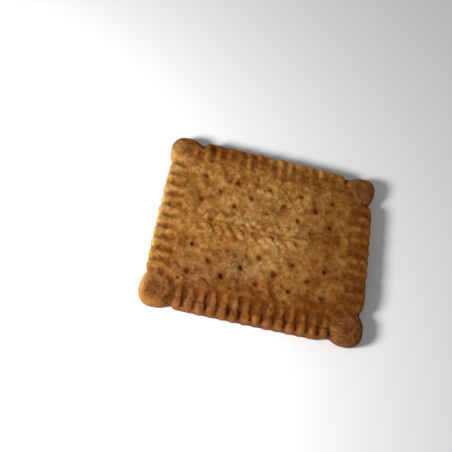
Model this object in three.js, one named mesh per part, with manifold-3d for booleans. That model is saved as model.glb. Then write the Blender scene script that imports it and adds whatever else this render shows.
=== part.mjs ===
// Petit beurre biscuit: a thin oblong biscuit with a toothed edge, a round ear at each corner, ribs that
// run in from the teeth, two groups of docking holes and a band of pressed grain between them. It is one
// baked piece. Millimetres, +Z up. The origin is the middle of the flat underside, and +X runs along the
// long side.
import * as THREE from "three";
import { mergeVertices } from "three/addons/utils/BufferGeometryUtils.js";
import Module from "manifold-3d";

// ---- driving dimensions ----

const LENGTH = 65; // over the ears, along X
const WIDTH = 54; // over the ears, along Y

// heights of the top above the underside
const FIELD_HEIGHT = 5.2; // the plain field, at its border
const FIELD_DOME = 0.3; // further rise at the middle of the field
const RIB_HEIGHT = 5.15; // crest of a rib
const EAR_SEAT = 4.75; // the dough round an ear's pad, which shows as a groove on the side of the field

// the toothed edge
const LONG_SIDE = { teeth: 14, span: 45.2, inset: 0.5 }; // inset: from the ears' reach to the tooth tips
const SHORT_SIDE = { teeth: 10, span: 34.9, inset: 0.55 };
const BOW = { south: 0.25, east: 0.3, north: 0.15, west: 0.35 }; // how far each side swells at its middle
const TOOTH_DEPTH = 0.5; // from a tooth's tip to the notch beside it
const TOOTH_UNEVEN = 0.14; // most that baking has moved a tooth's tip, in or out
const SEED = 52;

// the ribs behind the teeth
const RIB_RELIEF = { south: 0.75, east: 0.35, north: 0.5, west: 0.65 }; // from a crest down to a groove
const RIB_FULL = 5.4; // the ribs keep their relief this far in from the edge
const RIB_END = 7.2; // and have run out into the field here
const WAIST_DEPTH = 0.12; // dip behind each tooth's rounded tip
const WAIST_PLACE = 3.2; // distance of that dip from the edge
const WAIST_SPREAD = 1.1;

// the ears: a squarish outline, and a round pad that stands on it with a broad shoulder. Squareness is the
// exponent of such a shape: 2 is a circle, more is squarer. Reach is from its middle to the biscuit's
// furthest points.
const EAR = { radius: 5.6, reach: 5.6, squareness: 2.5 };
const PAD = { radius: 4.6, reach: 4.95, squareness: 2.1 };
const PAD_SECTION = [
  { share: 1, z: 3.6 }, // share: of the pad's radius
  { share: 0.97, z: 4.45 },
  { share: 0.87, z: 4.98 },
  { share: 0.72, z: 5.28 },
  { share: 0.54, z: 5.38 }, // the top of the shoulder
  { share: 0.3, z: 5.3 }, // the slightly dished middle
];
const PAD_MIDDLE = 5.28; // height of the dish's middle
const PAD_SIDES = 18;
const SEAT_RISE = { from: 1.12, to: 1.4 }; // the seat rises to the field between these shares of the radius

// section of the edge, from the underside up: height, and how far in from the outline
const UNDERSIDE_INSET = 1.0;
const EDGE_SECTION = [
  { z: 0, inset: UNDERSIDE_INSET },
  { z: 1.1, inset: 0.12 },
  { z: 2.9, inset: 0 },
];
const SHOULDER_Z = 2.9; // the top rounds off from here
const TOP_RINGS = [
  { inset: 0.4, rise: 0.66 }, // rise: share of the way from the shoulder to the full height
  { inset: 1.2, rise: 0.97 },
  { inset: 3.2, rise: 1 },
  { inset: 5.1, rise: 1 },
  { inset: 6.7, rise: 1 },
];

// the plain field inside the ribs
const BORDER = 8.6; // the field's border lies this far in from the ears' reach
const FIELD_HALF_X = LENGTH / 2 - BORDER;
const FIELD_HALF_Y = WIDTH / 2 - BORDER;
const FIELD_CORNER = 1.3; // radius of its corners
const FIELD_RINGS = [0.85, 0.6, 0.3]; // shares of the field's size
const FIELD_THINNING = 4; // the inner rings have one point in four

// the docking holes: two groups of rows of 5, 4 and 5
const HOLE_PITCH = 9.8; // between holes in a row
const HOLE_ROWS = [
  { y: 15.2, count: 5 },
  { y: 11.2, count: 4 },
  { y: 7.25, count: 5 },
];
const HOLES_CENTRE = { x: -0.5, y: -0.2 };
const HOLE_MOUTH = 0.7; // radius at the top
const HOLE_FOOT = 0.35; // radius at the bottom
const HOLE_FLOOR = 3.4; // height of its bottom above the underside
const HOLE_SIDES = 8;

// the band of pressed grain: an ear of wheat lying along the biscuit
const GRAIN_PAIRS = 9;
const GRAIN_STEP = 3.1; // from one pair to the next
const GRAIN = { length: 4.8, width: 1.7, height: 0.9 }; // a lying oval, half sunk in the field
const GRAIN_OFFSET = 1.95; // from the stalk to a grain's middle
const GRAIN_TILT = THREE.MathUtils.degToRad(34);
const GRAIN_SIDES = 8;
const GRAIN_TIERS = 3;
const STALK = { length: 30, width: 0.9, height: 0.7 };
const BAND_CENTRE = { x: -4.5, y: 0.5 };

const STEPS_PER_TOOTH = 5;
const STEPS_PER_EAR = 14;
const CUT_CLEARANCE = 1; // the hole cutters stand this far above the top

// ---- helpers ----

const { lerp, smoothstep } = THREE.MathUtils;
const wasm = await Module();
wasm.setup();

// Park and Miller's generator: the same numbers every time.
function seededRandom(seed) {
  const MULTIPLIER = 16807;
  const MODULUS = 2147483647;
  let state = seed;
  return () => {
    state = (state * MULTIPLIER) % MODULUS;
    return state / MODULUS;
  };
}

function toSolid(geometry) {
  const bare = geometry.clone();
  bare.deleteAttribute("normal");
  bare.deleteAttribute("uv");
  const merged = mergeVertices(bare);
  return new wasm.Manifold(
    new wasm.Mesh({
      numProp: 3,
      vertProperties: merged.getAttribute("position").array,
      triVerts: new Uint32Array(merged.index.array),
    }),
  );
}

function toGeometry(solid) {
  const mesh = solid.getMesh();
  const geometry = new THREE.BufferGeometry();
  geometry.setAttribute("position", new THREE.BufferAttribute(mesh.vertProperties, 3));
  geometry.setIndex(new THREE.BufferAttribute(mesh.triVerts, 1));
  geometry.computeVertexNormals();
  return geometry;
}

// ---- the outline ----

// Each station is a point of the outline, the point of the field's border that it runs in to, and how the
// top is shaped between them: sink is how far it lies under the crest of a rib.
const random = seededRandom(SEED);

function toothedSide(name, along, outward) {
  const isLong = along.y === 0;
  const side = isLong ? LONG_SIDE : SHORT_SIDE;
  const reachOfEars = (isLong ? WIDTH : LENGTH) / 2;
  const fieldHalf = isLong ? FIELD_HALF_X : FIELD_HALF_Y;
  const stations = [];
  const toothWidth = side.span / side.teeth;
  for (let tooth = 0; tooth < side.teeth; tooth++) {
    const uneven = (2 * random() - 1) * TOOTH_UNEVEN;
    for (let step = 0; step < STEPS_PER_TOOTH; step++) {
      const across = (2 * step) / STEPS_PER_TOOTH - 1;
      const place = (tooth + (across + 1) / 2) * toothWidth - side.span / 2;
      const share = place / (side.span / 2);
      const roundness = 1 - across * across; // 1 at the tip, 0 in the notch
      const swell = BOW[name] * (1 - share * share);
      const reach = reachOfEars - side.inset + swell - TOOTH_DEPTH + (TOOTH_DEPTH + uneven) * roundness;
      const outer = along.clone().multiplyScalar(place).addScaledVector(outward, reach);
      const inner = along
        .clone()
        .multiplyScalar(share * (fieldHalf - FIELD_CORNER))
        .addScaledVector(outward, reachOfEars - BORDER);
      stations.push({ outer, inner, sink: RIB_RELIEF[name] * (1 - Math.sqrt(roundness)), onEar: false });
    }
  }
  return stations;
}

function middleOf(shape) {
  return new THREE.Vector2(LENGTH / 2 - shape.reach, WIDTH / 2 - shape.reach);
}

// Distance from a shape's middle as a share of its radius, measured in its own squarish way.
function shareOf(shape, x, y) {
  const middle = middleOf(shape);
  const dx = Math.abs(Math.abs(x) - middle.x) / shape.radius;
  const dy = Math.abs(Math.abs(y) - middle.y) / shape.radius;
  return (dx ** shape.squareness + dy ** shape.squareness) ** (1 / shape.squareness);
}

// A point of the shape's outline at an angle round its middle, at a share of its size.
function pointOf(shape, angle, share) {
  const ray = new THREE.Vector2(Math.cos(angle), Math.sin(angle));
  const power = Math.abs(ray.x) ** shape.squareness + Math.abs(ray.y) ** shape.squareness;
  return ray.multiplyScalar(share * shape.radius * power ** (-1 / shape.squareness)).add(middleOf(shape));
}

// The outline round the ear at the corner that faces (signX, signY), from one notch to the other.
function earSide(signX, signY) {
  const middle = middleOf(EAR);
  const fromX = Math.acos((LONG_SIDE.span / 2 - middle.x) / EAR.radius); // at the long side's notch
  const fromY = Math.asin((SHORT_SIDE.span / 2 - middle.y) / EAR.radius); // at the short side's notch
  const anticlockwise = signX * signY > 0;
  const corner = new THREE.Vector2(signX, signY);
  const stations = [];
  for (let step = 0; step < STEPS_PER_EAR; step++) {
    const share = step / STEPS_PER_EAR;
    const angle = anticlockwise ? lerp(fromY, fromX, share) : lerp(fromX, fromY, share);
    const turn = (anticlockwise ? share : 1 - share) * (Math.PI / 2);
    const inner = new THREE.Vector2(
      FIELD_HALF_X - FIELD_CORNER + FIELD_CORNER * Math.cos(turn),
      FIELD_HALF_Y - FIELD_CORNER + FIELD_CORNER * Math.sin(turn),
    );
    const outer = pointOf(EAR, angle, 1).multiply(corner);
    stations.push({ outer, inner: inner.multiply(corner), sink: 0, onEar: true });
  }
  return stations;
}

const EAST = new THREE.Vector2(1, 0);
const NORTH = new THREE.Vector2(0, 1);
const WEST = new THREE.Vector2(-1, 0);
const SOUTH = new THREE.Vector2(0, -1);

// Anticlockwise, seen from above, from the end of the south side.
const stations = [
  ...earSide(1, -1),
  ...toothedSide("east", NORTH, EAST),
  ...earSide(1, 1),
  ...toothedSide("north", WEST, NORTH),
  ...earSide(-1, 1),
  ...toothedSide("west", SOUTH, WEST),
  ...earSide(-1, -1),
  ...toothedSide("south", EAST, SOUTH),
];

// ---- the top ----

function domeHeight(x, y) {
  const shareX = x / (LENGTH / 2);
  const shareY = y / (WIDTH / 2);
  return FIELD_HEIGHT + FIELD_DOME * Math.max(0, 1 - shareX * shareX) * Math.max(0, 1 - shareY * shareY);
}

// Height of a rib or the groove beside it, at a distance in from the edge.
function ribHeight(sink, distance) {
  const waist = WAIST_DEPTH * Math.exp(-(((distance - WAIST_PLACE) / WAIST_SPREAD) ** 2));
  return RIB_HEIGHT - waist - sink;
}

// Height of the seat that a pad stands on, and its rise to the field.
function seatHeight(x, y) {
  const risen = smoothstep(shareOf(PAD, x, y), SEAT_RISE.from, SEAT_RISE.to);
  return lerp(EAR_SEAT, domeHeight(x, y), risen);
}

// Height of the finished top at a point on a station's line, the given distance in from the outline.
function topHeight(station, x, y, distance) {
  if (station.onEar) return seatHeight(x, y);
  const fade = smoothstep(distance, RIB_FULL, RIB_END);
  return lerp(ribHeight(station.sink, distance), domeHeight(x, y), fade);
}

// ---- closed skins, made of rings of points ----

// Gathers points and triangles, and turns them into a solid.
class Skin {
  positions = [];
  triangles = [];

  point(x, y, z) {
    this.positions.push(x, y, z);
    return this.positions.length / 3 - 1;
  }

  // Joins a ring to the one inside it, which has as many points or fewer by a whole factor.
  bridge(outer, inner) {
    const factor = outer.length / inner.length;
    const half = Math.floor(factor / 2);
    for (let i = 0; i < inner.length; i++) {
      const next = (i + 1) % inner.length;
      for (let step = 0; step < factor; step++) {
        const a = outer[i * factor + step];
        const b = outer[(i * factor + step + 1) % outer.length];
        this.triangles.push(a, b, step < half ? inner[i] : inner[next]);
        if (step === half) this.triangles.push(a, inner[next], inner[i]);
      }
    }
  }

  closeTop(ring, centre) {
    ring.forEach((point, i) => this.triangles.push(point, ring[(i + 1) % ring.length], centre));
  }

  // A flat underside is one face of many corners, cut into triangles.
  closeUnderside(ring) {
    const contour = ring.map((i) => new THREE.Vector2(this.positions[3 * i], this.positions[3 * i + 1]));
    for (const [a, b, c] of THREE.ShapeUtils.triangulateShape(contour, [])) {
      this.triangles.push(ring[a], ring[c], ring[b]);
    }
  }

  // Skin over rings that run from the underside up and in, closed by a point at the middle of the top.
  solid(rings, centre) {
    for (let i = 1; i < rings.length; i++) this.bridge(rings[i - 1], rings[i]);
    this.closeTop(rings.at(-1), centre);
    this.closeUnderside(rings[0]);
    const geometry = new THREE.BufferGeometry();
    geometry.setAttribute("position", new THREE.BufferAttribute(new Float32Array(this.positions), 3));
    geometry.setIndex(this.triangles);
    return toSolid(geometry);
  }
}

// ---- the baked body ----

// The point this far in from the outline on a station's line. An ear's lines are longer, and their rings
// lie further apart.
function pointAt(station, inset) {
  const run = station.inner.clone().sub(station.outer);
  const share = station.onEar ? inset / BORDER : inset / run.length();
  return station.outer.clone().addScaledVector(run, share);
}

function bakedBody() {
  const skin = new Skin();
  const edge = EDGE_SECTION.map(({ z, inset }) =>
    stations.map((station) => {
      const { x, y } = pointAt(station, inset);
      return skin.point(x, y, z);
    }),
  );
  const top = TOP_RINGS.map(({ inset, rise }) =>
    stations.map((station) => {
      const { x, y } = pointAt(station, inset);
      return skin.point(x, y, lerp(SHOULDER_Z, topHeight(station, x, y, inset), rise));
    }),
  );
  const fieldPoint = ({ x, y }) => skin.point(x, y, domeHeight(x, y));
  const border = stations.map((station) => fieldPoint(station.inner));
  const fewer = stations.filter((_, index) => index % FIELD_THINNING === 0);
  const field = FIELD_RINGS.map((share) =>
    fewer.map((station) => fieldPoint(station.inner.clone().multiplyScalar(share))),
  );
  return skin.solid([...edge, ...top, border, ...field], fieldPoint({ x: 0, y: 0 }));
}

// An ear's pad: a rim round a dished middle, on the seat at the corner that faces (signX, signY).
function earPad(signX, signY) {
  const skin = new Skin();
  const turn = signX * signY; // a mirrored corner is gone round the other way, so its skin still faces out
  const rings = PAD_SECTION.map(({ share, z }) =>
    Array.from({ length: PAD_SIDES }, (_, i) => {
      const point = pointOf(PAD, (turn * 2 * Math.PI * i) / PAD_SIDES, share);
      return skin.point(point.x * signX, point.y * signY, z);
    }),
  );
  const middle = middleOf(PAD);
  return skin.solid(rings, skin.point(middle.x * signX, middle.y * signY, PAD_MIDDLE));
}

// ---- what is pressed into the top ----

function dockingHole(x, y) {
  const top = domeHeight(x, y);
  const height = top + CUT_CLEARANCE - HOLE_FLOOR;
  const flare = (HOLE_MOUTH - HOLE_FOOT) / (top - HOLE_FLOOR);
  const cutter = new THREE.CylinderGeometry(HOLE_FOOT + flare * height, HOLE_FOOT, height, HOLE_SIDES);
  cutter.rotateX(Math.PI / 2);
  cutter.translate(x, y, HOLE_FLOOR + height / 2);
  return toSolid(cutter);
}

function dockingHoles() {
  const holes = [];
  for (const group of [1, -1]) {
    for (const row of HOLE_ROWS) {
      for (let i = 0; i < row.count; i++) {
        const x = (i - (row.count - 1) / 2) * HOLE_PITCH;
        holes.push(dockingHole(HOLES_CENTRE.x + x, HOLES_CENTRE.y + group * row.y));
      }
    }
  }
  return holes;
}

// A lying oval: a grain, or the stalk, at its place in the band.
function oval(size, x, y, turn) {
  const shape = new THREE.SphereGeometry(0.5, GRAIN_SIDES, GRAIN_TIERS);
  shape.rotateX(Math.PI / 2);
  shape.scale(size.length, size.width, size.height);
  shape.rotateZ(turn);
  const bandX = BAND_CENTRE.x + x;
  const bandY = BAND_CENTRE.y + y;
  shape.translate(bandX, bandY, domeHeight(bandX, bandY));
  return toSolid(shape);
}

function pressedGrain() {
  const pieces = [oval(STALK, 0, 0, 0)];
  const firstX = (-(GRAIN_PAIRS - 1) / 2) * GRAIN_STEP;
  for (let i = 0; i < GRAIN_PAIRS; i++) {
    for (const side of [1, -1]) {
      pieces.push(oval(GRAIN, firstX + i * GRAIN_STEP, side * GRAIN_OFFSET, side * GRAIN_TILT));
    }
  }
  const tipX = firstX + GRAIN_PAIRS * GRAIN_STEP;
  pieces.push(oval(GRAIN, tipX, 0, 0));
  return pieces;
}

// ---- the biscuit ----

let biscuit = bakedBody();
for (const signX of [-1, 1]) {
  for (const signY of [-1, 1]) biscuit = biscuit.add(earPad(signX, signY));
}
for (const piece of pressedGrain()) biscuit = biscuit.add(piece);
for (const hole of dockingHoles()) biscuit = biscuit.subtract(hole);

const crust = new THREE.MeshStandardMaterial({ color: 0xb57f3c, roughness: 0.75, metalness: 0 });
const mesh = new THREE.Mesh(toGeometry(biscuit), crust);
mesh.name = "biscuit";

// The teeth are uneven, so the origin is put under the middle of the finished biscuit.
mesh.geometry.computeBoundingBox();
const middle = mesh.geometry.boundingBox.getCenter(new THREE.Vector3());
mesh.position.set(-middle.x, -middle.y, 0);

const group = new THREE.Group();
group.add(mesh);

export default group;
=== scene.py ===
"""Petit beurre biscuit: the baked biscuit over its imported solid, its crust, floor, light and camera.

Lengths are in metres, +Z is up, and the origin is the middle of the flat underside.
"""

import math

import bmesh
import bpy
import numpy as np
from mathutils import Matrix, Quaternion, Vector


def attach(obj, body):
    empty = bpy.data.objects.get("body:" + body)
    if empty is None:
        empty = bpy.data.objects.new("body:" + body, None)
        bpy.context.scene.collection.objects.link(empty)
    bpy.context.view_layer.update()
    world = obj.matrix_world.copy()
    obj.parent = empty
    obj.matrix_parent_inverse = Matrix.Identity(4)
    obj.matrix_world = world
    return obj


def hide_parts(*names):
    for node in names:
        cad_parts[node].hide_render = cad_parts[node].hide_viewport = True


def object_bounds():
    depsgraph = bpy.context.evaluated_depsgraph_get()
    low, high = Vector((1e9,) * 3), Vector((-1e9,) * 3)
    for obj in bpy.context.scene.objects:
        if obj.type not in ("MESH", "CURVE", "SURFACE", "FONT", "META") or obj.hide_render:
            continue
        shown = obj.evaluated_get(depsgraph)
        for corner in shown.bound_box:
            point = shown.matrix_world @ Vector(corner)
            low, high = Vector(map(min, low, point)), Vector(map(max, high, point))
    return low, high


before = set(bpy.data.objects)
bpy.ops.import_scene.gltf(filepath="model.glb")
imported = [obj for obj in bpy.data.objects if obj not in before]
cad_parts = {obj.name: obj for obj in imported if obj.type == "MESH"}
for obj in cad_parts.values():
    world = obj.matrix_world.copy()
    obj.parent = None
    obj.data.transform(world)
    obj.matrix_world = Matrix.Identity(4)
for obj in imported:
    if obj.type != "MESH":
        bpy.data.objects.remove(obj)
CAD_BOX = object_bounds()

bl_info = {
    "name": "Petit beurre biscuit",
    "version": (1, 0, 0),
    "blender": (4, 5, 0),
    "location": "3D View > Sidebar > Biscuit",
    "description": "Models a baked petit beurre biscuit, with its crust, floor, light and camera",
    "category": "Object",
}

MM = 0.001
TOUCH = 0.01 * MM  # places closer than this count as one
FACING = 0.9  # a face points up, or down, when its normal's height is past this
SHARP = 1  # an edge is sharp when its faces meet at more than this angle, in radians
PIECE = "baked_biscuit"

# ---- the toothed edge ----

# Each side: the way it faces, the way along it, and the turn about Z that swings a rib from +Y to run in.
SIDES = {
    "east": {"out": Vector((1, 0, 0)), "along": Vector((0, 1, 0)), "turn": math.radians(90)},
    "north": {"out": Vector((0, 1, 0)), "along": Vector((-1, 0, 0)), "turn": math.radians(180)},
    "west": {"out": Vector((-1, 0, 0)), "along": Vector((0, -1, 0)), "turn": math.radians(-90)},
    "south": {"out": Vector((0, -1, 0)), "along": Vector((1, 0, 0)), "turn": 0.0},
}
# How far each side swells at its middle.
BOW = {"south": 0.25 * MM, "east": 0.3 * MM, "north": 0.15 * MM, "west": 0.35 * MM}
# Height of the dough between the ribs: at their inner ends, and at the edge.
GROOVE_FLOORS = {
    "south": (5.2 * MM, 4.04 * MM),
    "east": (5.1 * MM, 4.84 * MM),
    "north": (5.06 * MM, 4.8 * MM),
    "west": (4.93 * MM, 4.42 * MM),
}
# From the tooth tips in to the dough between them.
NOTCH_DEPTHS = {"south": 0.25 * MM, "east": 0.2 * MM, "north": 0.22 * MM, "west": 0.42 * MM}
BED_ROUND = 1.6 * MM  # rounding of the dough's outer edge, between the knobs
BED_CORNER = 2.6 * MM  # rounding of its corners beside the ears, seen from above
BED_SHORTER = 0.2 * MM  # it ends this far before the teeth do
SLAB_INSETS = (1.5 * MM, 1.35 * MM)  # from the ears' reach in to the slab's edge, along X and Y
SLAB_CORNER = 4 * MM  # rounding of the slab's corners, seen from above
SLAB_ROUND = 0.8 * MM  # rounding of its upper edge
LOWEST_GROOVE = 4.0 * MM  # height of the slab, from which the field rises

# Widths of a rib and of its knob, as shares of the pitch.
RIB_SHARES = {"south": 0.7, "east": 0.72, "north": 0.72, "west": 0.72}
KNOB_SHARES = {"south": 0.84, "east": 0.8, "north": 0.8, "west": 0.8}
RIB_LENGTH = 8.2 * MM
KNOB_LENGTH = 2.3 * MM
WAIST_PLACE = 3.0 * MM  # from a tooth's tip
WAIST_DEPTHS = {"south": 0.28 * MM, "east": 0.0, "north": 0.0, "west": 0.0}
RIB_ROUND = 1.05 * MM  # rounding of a rib's crest
TIP_ROUND = 1.2 * MM  # rounding of a tooth's tip, seen from above
FOOT_ROUND = 0.9 * MM  # rounding at the underside
TOOTH_UNEVEN = 0.06 * MM  # most that baking has moved a tooth's tip, in or out
END_TOOTH_SHORTER = 0.35 * MM  # how much further in the tooth beside an eastern ear ends
# Spread of the ribs' lengths and heights, as shares of the usual: the least, and how much more at most.
RIB_STRETCH = (0.9, 0.17)
RIB_RISE = (0.985, 0.02)
FLATTER_EAST = 0.05  # how much lower the ribs are towards the east, as a share of their height

# ---- the ears ----

# Each ear, by the corner that it faces, in millimetres: height of the dough round its pad, height of the
# pad, how far the pad's middle is dished, rounding of the pad's shoulder, and roundness of the ear's
# outline at the biscuit's corner and towards the notches.
EARS = {
    (-1, -1): {"seat": 4.98, "pad": 5.38, "dish": 0.06, "shoulder": 1.6, "tip": 4.2, "flank": 5.6},
    (1, -1): {"seat": 4.9, "pad": 5.2, "dish": 0.05, "shoulder": 2.2, "tip": 3.8, "flank": 6.2},
    (1, 1): {"seat": 5.0, "pad": 5.15, "dish": 0.04, "shoulder": 2.2, "tip": 3.0, "flank": 7.0},
    (-1, 1): {"seat": 4.9, "pad": 5.25, "dish": 0.06, "shoulder": 2.0, "tip": 3.8, "flank": 6.0},
}
SEAT_ROUND = 1.7 * MM  # rounding of an ear's upper edge
PAD_PLACE = 4.95 * MM  # from the ear's furthest points to the middle of its pad
PAD_BOTTOM = 2 * MM  # within the ear
DISH_RINGS = ((0.3 * MM, 0), (0.7 * MM, 0.8), (0.7 * MM, 0.2))  # width, and share of the dish's depth

# Middles of the notches that are cut deeper beside the ears, in millimetres.
NOTCHES = ((32.5, -17.4), (-22.9, -26.8), (-32.5, -17.7), (-32.6, 17.4))
NOTCH_RADIUS = 0.9 * MM

# ---- the field ----

FIELD_SLOPE_START = 5.9 * MM  # in from the ears' reach
FIELD_SLOPE_RUN = 1.5 * MM
FIELD_CORNER_CUT = 4 * MM
FIELD_BOTTOM = 0.5 * MM  # within the slab

# The docking holes. Spreads are given as the least, and how much more at most.
HOLE_ROWS = ((15.2 * MM, 5), (11.2 * MM, 4), (7.25 * MM, 5))  # place from the middle, and holes in the row
HOLES_CENTRE = (-0.5 * MM, -0.2 * MM)
HOLE_ASTRAY = 0.15 * MM  # most that a hole stands off its place in the grid
HOLE_FOOT = 0.3 * MM  # radius at the floor of a docking hole
HOLE_FLOORS = (4.75 * MM, 0.35 * MM)  # spread of their heights
HOLE_MOUTHS = (0.8, 0.4)  # spread of the mouths, as shares of the usual
HOLE_RIM = (1.5, 0.2)  # soft rim round a hole: width as a share of its mouth, and depth in millimetres
CUT_CLEARANCE = 1 * MM  # the cutters stand this far above the top

# The pressed ear of wheat. A grain and the stalk have a length, a width and a height, and lie half sunk in
# the field.
BAND_CENTRE = (-4.5 * MM, 0.5 * MM)
STALK_SIZE = (30 * MM, 1.6 * MM, 0.7 * MM)
GRAIN_SIZE = (4.6 * MM, 2 * MM, 0.82 * MM)
GRAIN_POINT_START = 0.36  # of an oval that is 1 long; from there on it is drawn out to a point
GRAIN_POINT = (1.12, 0.7, 0.9)  # how much longer, narrower and lower the point is
GRAIN_TILT = math.radians(34)
GRAIN_OFFSET = 1.95 * MM  # from the stalk to a grain's middle
GRAIN_ASTRAY = 0.15 * MM  # most that a grain lies off its step
GRAIN_SPREAD = (0.92, 0.16)  # spread of their sizes, as shares of the usual
GRAIN_RISE = (0.8, 0.4)  # spread of their heights

# ---- the oven's work ----

TOP_LIMIT = CAD_BOX[1].z
FULLY_RISEN = 4 * MM  # from this height up, the dough moves freely
FLAT_BELOW = 0.12 * MM  # what lies lower rests on the floor
UNDERSIDE_BELOW = 0.3 * MM  # level faces that lie lower have the underside's finish
SOFTENING = (9, 6)  # rounds of smoothing before the band is laid on, and after
KEPT_TRIANGLES = 0.68  # share of the fine mesh that is kept
SEEDS = {"teeth": 52, "rib sizes": 31, "grains": 7, "holes": 19}

# What roughens the skin, in turn: size of its lumps and strength in millimetres, direction, where it works,
# and how fine it gets.
UNEVENNESS = {
    "warp": (14, 0.6, "Z", "risen", 1),
    "wander_x": (5, 0.28, "X", "risen", 1),
    "wander_y": (4.5, 0.22, "Y", "risen", 1),
    "pillows": (3.4, 0.75, "Z", "lumpy", 1),
    "lumps": (2, 0.35, "NORMAL", "lumpy", 1),
    "crumb": (0.9, 0.11, "NORMAL", "lumpy", 2),
}
# Towards the east the skin is smoother by this share: from where, and over what distance, in millimetres.
SMOOTHER_EAST = 0.35
SMOOTHER_FROM = 4
SMOOTHER_RUN = 14

# Marks of this one biscuit: a path of points, its half width and its depth, all in millimetres.
MARKS = (
    # hairline crack near the lower left
    (
        ((-19, -16.2), (-17.4, -15.8), (-16.4, -16.6), (-15, -17.1), (-14.2, -17.9), (-13.4, -18.3)),
        0.2, 0.22,
    ),
    (((-20.2, -17.6), (-21.2, -17.2), (-22.6, -18.2)), 0.25, 0.18),
    # open bubbles
    (((-22.3, -18.1),), 0.45, 0.5),
    (((15, -14.1), (16.6, -14.4)), 0.45, 0.2),
    (((-7.5, -18.3),), 0.4, 0.3),
    # crease across the ribs at the lower right
    (((17, -23.1), (19.5, -23.5), (22, -23.4), (24, -24)), 0.22, 0.25),
    # furrow beside the lower left pad
    (((-24.2, -18.4), (-23.3, -20.2), (-23.0, -22.2), (-23.4, -24.6)), 0.9, 0.15),
    # pits and furrows in that pad
    (((-29.7, -20.8), (-29.6, -21.3)), 0.3, 0.16),
    (((-29.2, -23.3),), 0.3, 0.07),
    (((-27.7, -23.5), (-27.3, -23.8)), 0.3, 0.12),
    (((-26.0, -19.6), (-25.4, -21.4), (-25.6, -24.2)), 0.4, 0.12),
    (((-27.3, -17.9), (-26.8, -18.5)), 0.6, 0.2),
)

# ---- browning ----

MIDDLE_BAKE = 0.44  # how far the middle is baked, from 0, pale, to 1, dark
UNDERSIDE_BAKE = 0.55

# How much darker hollows are made, and crests paler: partly the dough's own browning, partly painted shade
# in the hollows and painted highlight on the crests. Rounds of smoothing that show them, then a range of
# depths in millimetres, and the range of darkening that it gives.
SHADED_HOLLOWS = {
    "hollow": (40, (-0.15, 0.3), (-0.065, 0.14)),
    "dimple": (4, (-0.06, 0.08), (-0.06, 0.1)),
}

# How much darker the dough is round a docking hole, and how far out, in mouths' radii: partly browning,
# partly painted shade in the hole.
HOLE_SHADE_AND_BROWNING = ((0.2, 1), (0.1, 2.2))

# How much more three sides have baked, and how far in from the edge that reaches.
EDGE_BROWNING = {"east": (0.29, 20 * MM), "south": (0.3, 17 * MM), "north": (0.2, 9 * MM)}

# How much darker the dough between the ribs is made than their crests: partly browning, partly painted shade
# in the grooves. This reaches so far in from the teeth's tips, and fades over the last stretch of it.
BETWEEN_RIBS = {"east": 0.04, "north": 0.03, "west": 0.09, "south": 0.04}
BETWEEN_RIBS_REACH = 6.5 * MM
BETWEEN_RIBS_RUN = 2.5 * MM

# Broad patches: middle and half widths in millimetres, and how much darker, or paler, they are made. The
# pale strips along the west edge, on the outer rims of the lower left ear and on the left flank of the upper
# left ear are painted highlight where the light from the left falls.
TONES = (
    ((-3, 5), (15, 11), -0.14),
    ((3.5, -6), (5.5, 6.5), -0.18),
    ((-15, -13), (11, 7), 0.12),
    ((17, 0), (7, 18), 0.09),
    ((23.5, 0), (4.5, 13), -0.1),
    ((-4, 0.7), (14, 4), 0.115),
    ((15, -13.5), (4.5, 4), 0.05),
    ((22, 12), (3.5, 9), -0.12),
    ((0, -19.5), (24, 3.5), 0.08),
    ((15, -18.5), (8, 4), 0.07),
    ((-12, -18.5), (10, 4), 0.06),
    ((-26.5, 0), (2.5, 16), 0.07),
    ((-20, 25), (14, 3), 0.2),
    # painted highlight on the lit left flank of the upper left ear
    ((-31, 21), (2.5, 5), -0.16),
    ((7, 26), (13, 2.5), -0.2),
    ((-17, 20), (4, 4), 0.07),
    ((-27, 22), (6, 6), -0.04),
    ((-31, 16), (2, 2.5), 0.12),
    ((27, -6), (4, 4), -0.06),
    ((-5, -12.3), (3.5, 2.5), 0.08),
    ((-2, -22.8), (14, 3.2), -0.06),
    ((1, 20.5), (3, 3), 0.08),
    ((-19, -16), (3, 2.5), 0.1),
    ((-23, -6), (2.5, 8), 0.07),
    ((12, -3), (4, 9), -0.06),
    ((22, 17), (4, 3), -0.08),
    ((7, -17), (7, 2.5), -0.07),
    ((-11, -19), (3, 4), -0.07),
    ((-11, 16), (2.5, 2.5), -0.11),
    ((-3, 12.5), (3, 3), -0.13),
    ((-20.5, 10), (3, 3.5), -0.08),
    ((15.5, 9), (4, 4), 0.05),
    ((-27, -12), (5, 3), 0.07),
    ((-7, 19.5), (11, 2.5), 0.05),
    ((26.5, -14), (3.5, 3), 0.05),
    # painted highlight on the lit west edge
    ((-32.3, 0), (2.4, 20), -0.2),
    ((-27.2, -21.4), (6, 6), 0.09),
    # painted highlight on the lit left and lower rims of the lower left ear, this line and the next
    ((-31.8, -22), (1.2, 6), -0.25),
    ((-28, -26.3), (6, 1.2), -0.16),
    ((-12, -25.8), (14, 2), 0.05),
    ((27, 22), (7, 6), 0.03),
)

# ---- dust ----

DUST_EDGE = 1.6  # how steeply a dusty patch ends
DUST_OFF_HOLES = 5  # how strongly the browning of the docking holes keeps it off

# Dusty patches: middle and half widths in millimetres, and how much dust lies there.
DUSTY = (
    ((-7, -11.5), (9.5, 6.5), 0.9),
    ((-18, -15), (9, 6), 0.6),
    ((-3, 10.5), (6, 5), 0.4),
    ((27.5, -22.5), (8, 8), 0.3),
    ((27.5, 22), (8, 8), 0.24),
    ((-27.5, -21.5), (7, 7), 0.3),
    ((-28, 21), (8, 8), 0.2),
    ((-17, -24), (12, 5), 0.2),
    ((-31, -2), (4, 22), 0.12),
)

# ---- the stage ----

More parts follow.
